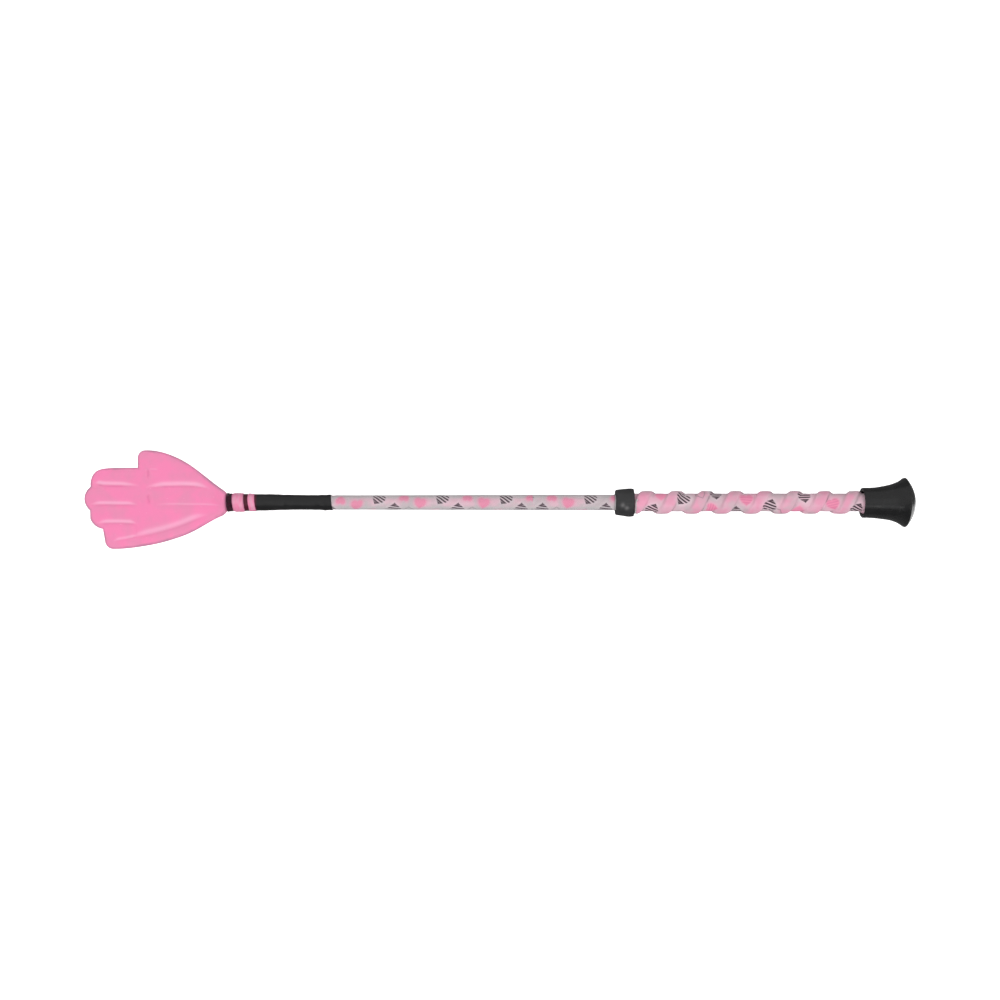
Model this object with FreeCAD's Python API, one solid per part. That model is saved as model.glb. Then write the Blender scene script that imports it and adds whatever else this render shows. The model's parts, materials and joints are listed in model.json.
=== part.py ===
"""Child's riding crop with a hand-shaped slapper, built as the separate pieces of the real object.

Millimetres. The origin is on the shaft's axis at the front face of the grip's collar. +X runs along the shaft
towards the butt cap, +Y towards the thumb of the hand, and +Z out of the hand's palm side.
"""
import FreeCAD
import Part
import math
import os

from FreeCAD import Vector

# Play between pieces that are pushed over one another, and between pieces that are glued.
FIT = 0.02
GLUE = 0.06

# Stations along the shaft.
HINGE_X = -287.0  # line on which the hand flexes
NECK_FRONT_X = -283.6  # front of the thread whipping
WHIPPING_LENGTH = 4.2
WIDE_BAND_START_X = -279.3
WIDE_BAND_LENGTH = 8.5
NARROW_BAND_START_X = -267.9
NARROW_BAND_LENGTH = 5.2
FERRULE_END_X = -248.5
PRINT_FILM_START_X = -214.0
SLEEVE_END_X = -206.9
COLLAR_CREST_X = 9.6  # widest place of the collar
COLLAR_EDGE_X = 13.3  # where the collar's rear edge starts to round off
COLLAR_LENGTH = 14.05
GRIP_START_X = 10.2  # the grip starts inside the collar's counterbore
CAP_MOUTH_X = 181.1
GRIP_END_X = 196.0
CAP_RIM_X = 212.4  # widest place of the butt cap
CAP_APEX_X = 219.7

# Rod, tube and films of the shaft.
ROD_RADIUS = 3.0
ROD_START_X = -266.0
ROD_END_X = 168.0
TUBE_RADIUS_AT_SLEEVE = 4.86
TUBE_RADIUS_AT_COLLAR = 5.52
PRINT_FILM = 0.12
CLEAR_FILM = 0.15

# Neck.
FERRULE_RADIUS = 5.65
FERRULE_NOSE_X = -283.1
FERRULE_SHOULDER_X = -269.5
FERRULE_TAIL_RADIUS = 5.3
SLEEVE_WALL = 0.6
SLEEVE_STEP = 1.6  # length over which the sleeve steps down beside an edge
SLEEVE_SLACK = 0.1  # how much looser the sleeve is where it nears the films
WHIPPING_RADIUS = 6.7
THREAD_TURNS = 7
WIDE_BAND_RADIUS = 7.0
WIDE_BAND_CROWN = 0.25  # how far a band's middle stands above its ends
NARROW_BAND_RADIUS = 6.62
NARROW_BAND_CROWN = 0.12

# Tongue that carries the hand.
TONGUE_WIDTH = 8.0
TONGUE_THICKNESS = 0.8
TONGUE_TAIL_X = -267.5
TONGUE_TIP_X = -330.0
SLOT_PLAY = 0.2

# Hand: two moulded halves with a felt sheet between them.
HAND_HALF_THICKNESS = 2.3
FELT_THICKNESS = 1.0
POCKET_SIZE = 0.86  # share of the hand's outline that the pocket for the felt takes up
FELT_SIZE = 0.85
POCKET_WAY_IN = 12.0

# Grip.
GRIP_TUBE_RADIUS = 6.35
GRIP_FILM = 0.2
CORD_PITCH = 21.68
CORD_HEIGHT = 1.8
CORD_FOOT_WIDTH = 11.2
CORD_TOP_WIDTH = 7.0
CORD_TOP_X = 23.8  # where the cord's middle first crosses the +Y side
CORD_END_GAP = 0.3
RIDGE_ROOT = 0.7  # how deep in the tube's wall the ridge's section starts

# Collar, with its front flank and its rear edge as arcs through a middle (x, radius) point.
COLLAR_FRONT_RADIUS = 9.2
COLLAR_FLANK = (4.1, 9.85)
COLLAR_CREST_RADIUS = 10.45
COLLAR_EDGE_RADIUS = 10.2
COLLAR_EDGE = (13.85, 9.75)
COLLAR_BACK_RADIUS = 9.2

# Butt cap. Its flare is a smooth curve through (x, radius) points, from the lip to the rim.
CAP_BORE_RADIUS = 8.65
CAP_LIP_RADIUS = 10.2
CAP_LIP = (181.35, 10.65)
CAP_FLARE = ((182.0, 10.95), (188.0, 11.2), (194.4, 11.85), (201.7, 13.15), (207.6, 15.35), (211.0, 17.4))
CAP_RIM = (212.5, 18.2)  # middle of the rounded rim
CAP_RIM_RADIUS = 18.2
CAP_RIM_ROUND = 1.3
PLUG_START_X = 168.1
NAIL_RADIUS = 0.9
NAIL_POINT_X = 176.0
NAIL_HEAD_RADIUS = 3.4
NAIL_HEAD_THICKNESS = 0.9
NAIL_HEAD_RISE = 0.15
NAIL_POINT_LENGTH = 2.0

AXIS = Vector(1, 0, 0)
ORIGIN = Vector(0, 0, 0)
PALM_MIDDLE = Vector(HINGE_X - 48.0, 2.0, 0)

# Outline of the hand as (distance ahead of the flex line, distance to the thumb side). Two points make a
# straight stretch, three make an arc and more make a smooth curve.
HAND_OUTLINE = (
    ((0.0, 9.4), (13.6, 19.7), (25.3, 28.3), (37.0, 34.3), (48.8, 37.7), (56.6, 38.2)),  # thumb side
    ((56.6, 38.2), (60.3, 36.8), (62.1, 33.4)),  # thumb tip
    ((62.1, 33.4), (62.1, 25.4)),
    ((62.1, 25.4), (80.0, 25.3)),  # index finger
    ((80.0, 25.3), (87.3, 24.7), (92.9, 22.5), (95.9, 18.0), (96.6, 11.6)),
    ((96.6, 11.6), (101.1, 3.7), (97.0, -5.8)),  # middle finger tip
    ((97.0, -5.8), (96.8, -12.2)),  # ring finger
    ((96.8, -12.2), (94.4, -15.9), (87.6, -19.4)),
    ((87.6, -19.4), (86.0, -28.6)),  # little finger
    ((86.0, -28.6), (83.9, -32.6), (79.6, -34.1)),
    # Heel of the hand, back to the wrist.
    ((79.6, -34.1), (69.3, -33.6), (57.5, -32.0), (45.8, -29.7), (34.1, -26.3), (22.4, -21.7), (7.0, -13.0),
     (0.0, -9.7)),
    ((0.0, -9.7), (0.0, 9.4)),  # wrist
)


def turned(profile):
    """A solid of revolution about the shaft's axis from a closed profile of (x, radius) points."""
    points = [Vector(x, radius, 0) for x, radius in profile]
    face = Part.Face(Part.makePolygon(points + points[:1]))
    return face.revolve(ORIGIN, AXIS, 360)


def turned_edges(edges):
    """A solid of revolution about the shaft's axis from edges that close in the XY plane."""
    return Part.Face(Part.Wire(edges)).revolve(ORIGIN, AXIS, 360)


def pipe(start_x, end_x, inner, outer):
    """A plain tube along the shaft's axis."""
    return turned([(start_x, inner), (end_x, inner), (end_x, outer), (start_x, outer)])


def bar(start_x, end_x, radius):
    """A plain round bar along the shaft's axis."""
    return Part.makeCylinder(radius, end_x - start_x, Vector(start_x, 0, 0), AXIS)


def sleeve_like(stations, wall):
    """A thin skin whose outer side runs through (x, radius) stations."""
    inner = [(x, radius - wall) for x, radius in reversed(stations)]
    return turned(list(stations) + inner)


def line(start, end):
    """A straight edge between two (x, radius) points."""
    return Part.makeLine(Vector(*start, 0), Vector(*end, 0))


def arc(start, middle, end):
    """An arc edge through three (x, radius) points."""
    return Part.Arc(*(Vector(*point, 0) for point in (start, middle, end))).toShape()


# ---------------------------------------------------------------- shaft


def tube_radius(x):
    """Outer radius of the shaft's tube, which tapers towards the hand and is plain under the grip."""
    share = (min(x, 0.0) - SLEEVE_END_X) / -SLEEVE_END_X
    return TUBE_RADIUS_AT_SLEEVE + share * (TUBE_RADIUS_AT_COLLAR - TUBE_RADIUS_AT_SLEEVE)


def core_rod():
    """Glass-fibre rod, the spine of the crop."""
    return bar(ROD_START_X, ROD_END_X, ROD_RADIUS)


def shaft_tube():
    """Tapered tube over the rod, from the ferrule to the end of the grip."""
    bore = ROD_RADIUS + FIT
    outside = [(x, tube_radius(x)) for x in (FERRULE_END_X + FIT, 0.0, GRIP_END_X)]
    return turned([(GRIP_END_X, bore), (FERRULE_END_X + FIT, bore)] + outside)


def film_on_shaft(thickness, under, start_x, end_x):
    """A film shrunk over the tapered tube, with the films already under it as a radius allowance."""
    inside = [(x, tube_radius(x) + under + FIT) for x in (start_x, end_x)]
    outside = [(x, radius + thickness) for x, radius in reversed(inside)]
    return turned(inside + outside)


def shaft_print_film():
    """Printed film on the tube."""
    return film_on_shaft(PRINT_FILM, 0.0, PRINT_FILM_START_X, 0.0)


def shaft_clear_film():
    """Clear glossy film over the printed one."""
    return film_on_shaft(CLEAR_FILM, PRINT_FILM + FIT, PRINT_FILM_START_X, 0.0)


# ---------------------------------------------------------------- neck


def ferrule_radius(x):
    """Outer radius of the ferrule: plain under the bands, tapered behind them."""
    share = max(0.0, x - FERRULE_SHOULDER_X) / (FERRULE_END_X - FERRULE_SHOULDER_X)
    return FERRULE_RADIUS + share * (FERRULE_TAIL_RADIUS - FERRULE_RADIUS)


def sleeve_radius(x):
    """Outer radius of the shrink sleeve where it lies on the ferrule."""
    return ferrule_radius(x) + FIT + SLEEVE_WALL


def tip_ferrule():
    """Plastic ferrule on the end of the rod, slotted in front for the tongue."""
    outside = [(x, ferrule_radius(x)) for x in (FERRULE_NOSE_X, FERRULE_SHOULDER_X, FERRULE_END_X)]
    body = turned(outside + [(FERRULE_END_X, 0.0), (FERRULE_NOSE_X, 0.0)])
    bore = bar(ROD_START_X - FIT, FERRULE_END_X, ROD_RADIUS + FIT)
    slot = tongue_blank(SLOT_PLAY, FERRULE_NOSE_X, TONGUE_TAIL_X + SLOT_PLAY)
    return body.cut(bore).cut(slot)


def tip_sleeve():
    """Black heat-shrink sleeve over the ferrule and the front of the shaft."""
    bare = tube_radius(FERRULE_END_X) + FIT + SLEEVE_WALL
    film = tube_radius(PRINT_FILM_START_X) + PRINT_FILM + CLEAR_FILM + 3 * FIT + SLEEVE_WALL
    stations = [
        (WIDE_BAND_START_X, sleeve_radius(WIDE_BAND_START_X)),
        (FERRULE_SHOULDER_X, sleeve_radius(FERRULE_SHOULDER_X)),
        (FERRULE_END_X, sleeve_radius(FERRULE_END_X)),
        (FERRULE_END_X + SLEEVE_STEP, bare),
        (PRINT_FILM_START_X - SLEEVE_STEP, bare + SLEEVE_SLACK),
        (PRINT_FILM_START_X - FIT, film),
        (SLEEVE_END_X, film + FIT),
    ]
    return sleeve_like(stations, SLEEVE_WALL)


def neck_whipping():
    """Thread whipping in front of the bands, one round bead for each turn of thread."""
    bead = WHIPPING_LENGTH / THREAD_TURNS / 2
    inner = FERRULE_RADIUS + FIT
    end_x = NECK_FRONT_X + WHIPPING_LENGTH
    valley = WHIPPING_RADIUS - bead
    edges = [line((end_x, valley), (end_x, inner)), line((end_x, inner), (NECK_FRONT_X, inner))]
    edges.append(line((NECK_FRONT_X, inner), (NECK_FRONT_X, valley)))
    for turn in range(THREAD_TURNS):
        left = NECK_FRONT_X + 2 * bead * turn
        right = end_x if turn == THREAD_TURNS - 1 else left + 2 * bead
        edges.append(arc((left, valley), (left + bead, WHIPPING_RADIUS), (right, valley)))
    return turned_edges(edges)


def band(start_x, length, radius, crown):
    """A soft band round the sleeve, crowned in the middle."""
    end_x = start_x + length
    inner = [sleeve_radius(x) + FIT for x in (start_x, end_x)]
    edge = radius - crown
    return turned_edges(
        [
            line((start_x, inner[0]), (start_x, edge)),
            arc((start_x, edge), ((start_x + end_x) / 2, radius), (end_x, edge)),
            line((end_x, edge), (end_x, inner[1])),
            line((end_x, inner[1]), (start_x, inner[0])),
        ]
    )


def wide_band():
    """Wide pink band next to the whipping."""
    return band(WIDE_BAND_START_X, WIDE_BAND_LENGTH, WIDE_BAND_RADIUS, WIDE_BAND_CROWN)


def narrow_band():
    """Narrow pink band behind the wide one."""
    return band(NARROW_BAND_START_X, NARROW_BAND_LENGTH, NARROW_BAND_RADIUS, NARROW_BAND_CROWN)


# ---------------------------------------------------------------- hand


def tongue_blank(play, front_x, tail_x):
    """The tongue's strip between two stations, made larger all round by a play."""
    width = TONGUE_WIDTH + 2 * play
    thickness = TONGUE_THICKNESS + play
    return Part.makeBox(tail_x - front_x, width, thickness, Vector(front_x, -width / 2, -thickness / 2))


def tongue():
    """Flat glass-fibre spring strip from the ferrule into the hand."""
    return tongue_blank(0.0, TONGUE_TIP_X, TONGUE_TAIL_X)


def hand_wire():
    """Closed outline of the hand in the XY plane."""
    edges = []
    for stretch in HAND_OUTLINE:
        points = [Vector(HINGE_X - ahead, across, 0) for ahead, across in stretch]
        if len(points) == 2:
            edges.append(Part.makeLine(*points))
        elif len(points) == 3:
            edges.append(Part.Arc(*points).toShape())
        else:
            curve = Part.BSplineCurve()
            curve.interpolate(points)
            edges.append(curve.toShape())
    return Part.Wire(edges)


def hand_slab(size, start_z, end_z):
    """A flat slab with the hand's outline, shrunk towards the middle of the palm to a share of its size."""
    wire = hand_wire().scaled(size, PALM_MIDDLE)
    wire.translate(Vector(0, 0, start_z))
    return Part.Face(wire).extrude(Vector(0, 0, end_z - start_z))


def hand_half():
    """The palm side of the hand: a tray whose rim is bonded to the other half at z = 0."""
    slab = hand_slab(1.0, 0.0, HAND_HALF_THICKNESS)
    pocket = hand_slab(POCKET_SIZE, 0.0, FELT_THICKNESS / 2)
    way_in = tongue_blank(SLOT_PLAY, HINGE_X - POCKET_WAY_IN, HINGE_X)
    return slab.cut(pocket).cut(way_in)


def hand_front():
    """Palm half of the hand."""
    return hand_half()


def hand_back():
    """Back half of the hand, the mirror image of the palm half."""
    return hand_half().mirror(ORIGIN, Vector(0, 0, 1))


def hand_core():
    """Felt sheet between the halves, slotted for the tongue."""
    half = FELT_THICKNESS / 2 - GLUE
    length = HINGE_X - TONGUE_TIP_X + SLOT_PLAY
    width = TONGUE_WIDTH + 2 * SLOT_PLAY
    slot = Part.makeBox(length, width, 4 * half, Vector(HINGE_X - length, -width / 2, -2 * half))
    return hand_slab(FELT_SIZE, -half, half).cut(slot)


# ---------------------------------------------------------------- grip


def grip_tube():
    """Rubber tube under the grip's cord and film."""
    return pipe(GRIP_START_X, GRIP_END_X, tube_radius(0.0) + FIT, GRIP_TUBE_RADIUS)


def ridge(allowance, foot_radius):
    """The cord's left-handed ridge from the collar to the end of the grip, made larger by an allowance."""
    turns_before = 2
    height = GRIP_END_X + 2 * turns_before * CORD_PITCH
    spine = Part.makeLongHelix(CORD_PITCH, height, GRIP_TUBE_RADIUS, 0, True)
    top = CORD_TOP_WIDTH / 2 + allowance
    crest = GRIP_TUBE_RADIUS + CORD_HEIGHT + allowance
    slant = (CORD_FOOT_WIDTH - CORD_TOP_WIDTH) / 2 / CORD_HEIGHT
    foot = top + slant * (crest - foot_radius)
    corners = [(-foot, foot_radius), (foot, foot_radius), (top, crest), (-top, crest)]
    points = [Vector(radius, 0, along) for along, radius in corners]
    section = Part.makePolygon(points + points[:1])
    solid = Part.Wire(spine).makePipeShell([section], True, True)
    # The helix stands on the XY plane: lay it along X, then turn its start to the +Y side.
    solid.rotate(ORIGIN, Vector(0, 1, 0), 90)
    solid.rotate(ORIGIN, AXIS, 90)
    solid.translate(Vector(CORD_TOP_X - turns_before * CORD_PITCH, 0, 0))
    return solid


def grip_cord():
    """Flat cord wound round the grip tube."""
    cord = ridge(0.0, GRIP_TUBE_RADIUS + GLUE)
    start_x = COLLAR_LENGTH + CORD_END_GAP + GRIP_FILM
    return cord.common(bar(start_x, GRIP_END_X - CORD_END_GAP, 2 * GRIP_TUBE_RADIUS))


def grip_skin(allowance, start_x, end_x):
    """The grip's outside, tube and ridge together, made larger by an allowance."""
    barrel = bar(GRIP_START_X, GRIP_END_X, GRIP_TUBE_RADIUS + allowance)
    raised = ridge(allowance, GRIP_TUBE_RADIUS - RIDGE_ROOT)
    raised = raised.common(bar(start_x, end_x, 2 * GRIP_TUBE_RADIUS))
    return barrel.fuse(raised)


def grip_film():
    """Printed film shrunk over the tube and the cord."""
    start_x = COLLAR_LENGTH + CORD_END_GAP
    outside = grip_skin(GLUE + GRIP_FILM, start_x, GRIP_END_X)
    inside = grip_skin(GLUE, start_x + GRIP_FILM - GLUE, GRIP_END_X)
    return outside.cut(inside)


# ---------------------------------------------------------------- collar and butt


def collar():
    """Black rubber collar, bored for the shaft and counterbored for the grip."""
    bore = tube_radius(0.0) + FIT
    counterbore = GRIP_TUBE_RADIUS + GLUE + GRIP_FILM + FIT
    seat_x = GRIP_START_X - FIT
    front = (0.0, COLLAR_FRONT_RADIUS)
    crest = (COLLAR_CREST_X, COLLAR_CREST_RADIUS)
    edge = (COLLAR_EDGE_X, COLLAR_EDGE_RADIUS)
    back = (COLLAR_LENGTH, COLLAR_BACK_RADIUS)
    return turned_edges(
        [
            line((0.0, bore), front),
            arc(front, COLLAR_FLANK, crest),
            line(crest, edge),
            arc(edge, COLLAR_EDGE, back),
            line(back, (COLLAR_LENGTH, counterbore)),
            line((COLLAR_LENGTH, counterbore), (seat_x, counterbore)),
            line((seat_x, counterbore), (seat_x, bore)),
            line((seat_x, bore), (0.0, bore)),
        ]
    )


def dome_x(radius, edge_x=CAP_RIM_X, edge_radius=CAP_RIM_RADIUS, apex_x=CAP_APEX_X):
    """Where a dome, whose centre is on the axis, lies at a distance from the axis."""
    rise = apex_x - edge_x
    sphere = (edge_radius**2 + rise**2) / (2 * rise)
    return apex_x - sphere + math.sqrt(sphere**2 - radius**2)


def butt_cap():
    """Rubber mushroom cap with a socket for the grip and a recess for the nail's head."""
    flank = Part.BSplineCurve()
    flank.interpolate([Vector(x, radius, 0) for x, radius in CAP_FLARE])
    inner_lip = (CAP_MOUTH_X, CAP_LIP_RADIUS)
    shoulder = CAP_RIM_RADIUS - CAP_RIM_ROUND
    recess_x = CAP_APEX_X - NAIL_HEAD_THICKNESS
    nail_hole = NAIL_RADIUS + FIT
    head_hole = NAIL_HEAD_RADIUS + FIT
    socket_x = GRIP_END_X + FIT
    on_dome = [(dome_x(radius), radius) for radius in (shoulder, shoulder / 2, head_hole)]
    edges = [
        arc(inner_lip, CAP_LIP, CAP_FLARE[0]),
        flank.toShape(),
        arc(CAP_FLARE[-1], CAP_RIM, on_dome[0]),
        arc(*on_dome),
        line(on_dome[-1], (recess_x, head_hole)),
        line((recess_x, head_hole), (recess_x, nail_hole)),
        line((recess_x, nail_hole), (socket_x, nail_hole)),
        line((socket_x, nail_hole), (socket_x, CAP_BORE_RADIUS)),
        line((socket_x, CAP_BORE_RADIUS), (CAP_MOUTH_X, CAP_BORE_RADIUS)),
        line((CAP_MOUTH_X, CAP_BORE_RADIUS), inner_lip),
    ]
    return turned_edges(edges)


def butt_plug():
    """Hardwood plug in the end of the tube, pierced by the nail."""
    plug = bar(PLUG_START_X, GRIP_END_X, ROD_RADIUS)
    return plug.cut(bar(NAIL_POINT_X - NAIL_POINT_LENGTH - SLOT_PLAY, GRIP_END_X, NAIL_RADIUS + FIT))


def cap_nail():
    """Nail through the cap into the plug, its low round head just proud of the dome."""
    seat_x = CAP_APEX_X - NAIL_HEAD_THICKNESS + FIT
    head = (dome_x(NAIL_HEAD_RADIUS), NAIL_HEAD_RADIUS)
    top_x = CAP_APEX_X + NAIL_HEAD_RISE
    half_way = (dome_x(NAIL_HEAD_RADIUS / 2, *head, top_x), NAIL_HEAD_RADIUS / 2)
    tip = (NAIL_POINT_X - NAIL_POINT_LENGTH, 0.0)
    return turned_edges(
        [
            line(tip, (NAIL_POINT_X, NAIL_RADIUS)),
            line((NAIL_POINT_X, NAIL_RADIUS), (seat_x, NAIL_RADIUS)),
            line((seat_x, NAIL_RADIUS), (seat_x, NAIL_HEAD_RADIUS)),
            line((seat_x, NAIL_HEAD_RADIUS), head),
            arc(head, half_way, (top_x, 0.0)),
            line((top_x, 0.0), tip),
        ]
    )


PIECES = (
    core_rod,
    shaft_tube,
    shaft_print_film,
    shaft_clear_film,
    tip_ferrule,
    tip_sleeve,
    neck_whipping,
    wide_band,
    narrow_band,
    tongue,
    hand_front,
    hand_back,
    hand_core,
    grip_tube,
    grip_cord,
    grip_film,
    collar,
    butt_cap,
    butt_plug,
    cap_nail,
)

os.makedirs("parts", exist_ok=True)
for piece in PIECES:
    piece().exportStep(f"parts/{piece.__name__}.step")
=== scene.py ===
"""Looks of a child's riding crop with a hand-shaped slapper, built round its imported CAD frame.

Lengths in the piece builders are millimetres in the row frame and turn into metres where a mesh is made.
Angles round the shaft are measured from +Z (the palm side) towards +Y (the thumb side).
"""
import json
import math

import bmesh
import bpy
import numpy as np
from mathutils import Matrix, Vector, geometry


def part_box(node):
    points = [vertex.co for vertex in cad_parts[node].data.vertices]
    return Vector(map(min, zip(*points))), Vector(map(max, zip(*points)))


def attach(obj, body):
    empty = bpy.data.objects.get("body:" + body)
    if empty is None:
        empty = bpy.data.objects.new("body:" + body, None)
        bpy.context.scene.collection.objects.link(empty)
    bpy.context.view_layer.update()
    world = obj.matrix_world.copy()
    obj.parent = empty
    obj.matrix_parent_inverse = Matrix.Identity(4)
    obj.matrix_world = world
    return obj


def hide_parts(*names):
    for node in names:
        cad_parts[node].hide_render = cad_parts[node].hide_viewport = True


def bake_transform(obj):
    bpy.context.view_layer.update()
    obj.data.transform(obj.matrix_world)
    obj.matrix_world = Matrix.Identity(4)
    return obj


MM = 0.001
CROP = "crop"

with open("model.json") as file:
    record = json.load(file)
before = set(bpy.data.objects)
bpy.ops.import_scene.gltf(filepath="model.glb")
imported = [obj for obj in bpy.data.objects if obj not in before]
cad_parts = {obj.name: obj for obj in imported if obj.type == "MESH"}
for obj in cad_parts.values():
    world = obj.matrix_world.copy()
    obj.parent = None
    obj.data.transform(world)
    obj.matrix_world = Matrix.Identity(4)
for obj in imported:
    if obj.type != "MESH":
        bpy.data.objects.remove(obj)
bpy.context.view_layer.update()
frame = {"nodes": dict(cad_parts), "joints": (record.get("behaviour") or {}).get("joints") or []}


def box_mm(node):
    """Lowest and highest corner of a CAD node in millimetres."""
    low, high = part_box(node)
    return np.array(low) / MM, np.array(high) / MM


# ---------------------------------------------------------------- mesh helpers


def new_piece(name, points_mm, faces, material, smooth=True):
    """A mesh object from points in millimetres, with its normals turned outwards."""
    mesh = bpy.data.meshes.new(name)
    mesh.from_pydata((np.asarray(points_mm, float) * MM).tolist(), [], [list(map(int, face)) for face in faces])
    work = bmesh.new()
    work.from_mesh(mesh)
    bmesh.ops.recalc_face_normals(work, faces=work.faces)
    work.to_mesh(mesh)
    work.free()
    mesh.polygons.foreach_set("use_smooth", [smooth] * len(mesh.polygons))
    mesh.materials.append(material)
    piece = bpy.data.objects.new(name, mesh)
    bpy.context.scene.collection.objects.link(piece)
    return piece


def point_values(piece, name, values):
    """Stores one number per vertex for the piece's material to read."""
    attribute = piece.data.attributes.new(name, "FLOAT", "POINT")
    attribute.data.foreach_set("value", np.asarray(values, np.float32))


def around(segments):
    """Angles of the vertices of one ring."""
    return np.linspace(0.0, 2 * math.pi, segments, endpoint=False)


def ring_points(x, radius, angles):
    """Points of rings about the shaft's axis. x and radius have one row per ring, one column per angle."""
    return np.stack([x, radius * np.sin(angles), radius * np.cos(angles)], axis=-1)


def grid_faces(rows, columns, closed_rows=False, first=0):
    """Quads of a grid whose columns close round the axis, and whose rows close too if asked."""
    faces = []
    for row in range(rows if closed_rows else rows - 1):
        after = (row + 1) % rows
        for column in range(columns):
            side = (column + 1) % columns
            a, b = first + row * columns, first + after * columns
            faces.append((a + column, a + side, b + side, b + column))
    return faces


def turned_shell(name, outer, wall, material, segments=128, shape=None):
    """A closed shell about the axis. outer holds (x, radius) stations; shape(x, angle) adds to the radius."""
    stations = np.array(outer, float)
    angles = around(segments)
    x = np.repeat(stations[:, :1], segments, axis=1)
    radius = np.repeat(stations[:, 1:], segments, axis=1)
    if shape is not None:
        radius = radius + shape(x, angles[None, :])
    inner = np.maximum(radius - wall, 0.2)
    points = np.concatenate([ring_points(x, radius, angles), ring_points(x[::-1], inner[::-1], angles)])
    faces = grid_faces(len(points), segments, closed_rows=True)
    return new_piece(name, points.reshape(-1, 3), faces, material)


def turned_solid(name, stations, material, segments=128, shape=None):
    """A closed solid about the axis from (x, radius) stations that go once round its closed section."""
    stations = np.array(stations, float)
    angles = around(segments)
    x = np.repeat(stations[:, :1], segments, axis=1)
    radius = np.repeat(stations[:, 1:], segments, axis=1)
    if shape is not None:
        radius = radius + shape(x, angles[None, :])
    points = ring_points(x, radius, angles)
    return new_piece(name, points.reshape(-1, 3), grid_faces(len(points), segments, closed_rows=True), material)


def smooth_stations(stations, step):
    """Stations at an even step along x, on a curve that never overshoots the given ones."""
    stations = np.array(stations, float)
    x, radius = stations[:, 0], stations[:, 1]
    slope = np.diff(radius) / np.diff(x)
    tangent = np.zeros(len(x))
    for i in range(1, len(x) - 1):
        if slope[i - 1] * slope[i] > 0:
            tangent[i] = 2 * slope[i - 1] * slope[i] / (slope[i - 1] + slope[i])
    tangent[0], tangent[-1] = slope[0], slope[-1]
    fine = np.linspace(x[0], x[-1], max(2, int((x[-1] - x[0]) / step)))
    span = np.clip(np.searchsorted(x, fine, side="right") - 1, 0, len(slope) - 1)
    width = x[span + 1] - x[span]
    t = (fine - x[span]) / width
    value = (
        (2 * t**3 - 3 * t**2 + 1) * radius[span]
        + (t**3 - 2 * t**2 + t) * width * tangent[span]
        + (3 * t**2 - 2 * t**3) * radius[span + 1]
        + (t**3 - t**2) * width * tangent[span + 1]
    )
    return np.stack([fine, value], axis=1)


def quarter_round(x, radius, size_x, size_r, start, steps=6):
    """Stations of a rounded corner centred at (x, radius); start is its first angle, and it sweeps 90 degrees."""
    angle = np.radians(start) - np.linspace(0, math.pi / 2, steps)
    return [(x + size_x * math.cos(a), radius + size_r * math.sin(a)) for a in angle]


def waves(seed, count, longest, shortest):
    """A smooth random function of (x, angle): a few waves along the axis and round it, about 1 high."""
    source = np.random.default_rng(seed)
    length = np.exp(source.uniform(math.log(shortest), math.log(longest), count))
    turns = source.integers(0, 5, count)
    phase = source.uniform(0, 2 * math.pi, count)
    height = source.uniform(0.5, 1.0, count)

    def value(x, angle):
        total = 0.0
        for i in range(count):
            total = total + height[i] * np.sin(2 * math.pi * x / length[i] + turns[i] * angle + phase[i])
        return total / math.sqrt(count)

    return value


def bump(x, centre, width):
    """A soft hump, 1 high at its centre."""
    return np.exp(-(((x - centre) / width) ** 2))


def soft_step(value, low, high):
    """0 below low, 1 above high, smooth between."""
    t = np.clip((value - low) / (high - low), 0, 1)
    return t * t * (3 - 2 * t)


# ---------------------------------------------------------------- materials


def linear(red, green, blue):
    """A display colour (0 to 255) as the linear colour that a shader takes."""
    channels = []
    for value in (red, green, blue):
        c = value / 255
        channels.append(c / 12.92 if c <= 0.04045 else ((c + 0.055) / 1.055) ** 2.4)
    return (*channels, 1.0)


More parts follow.
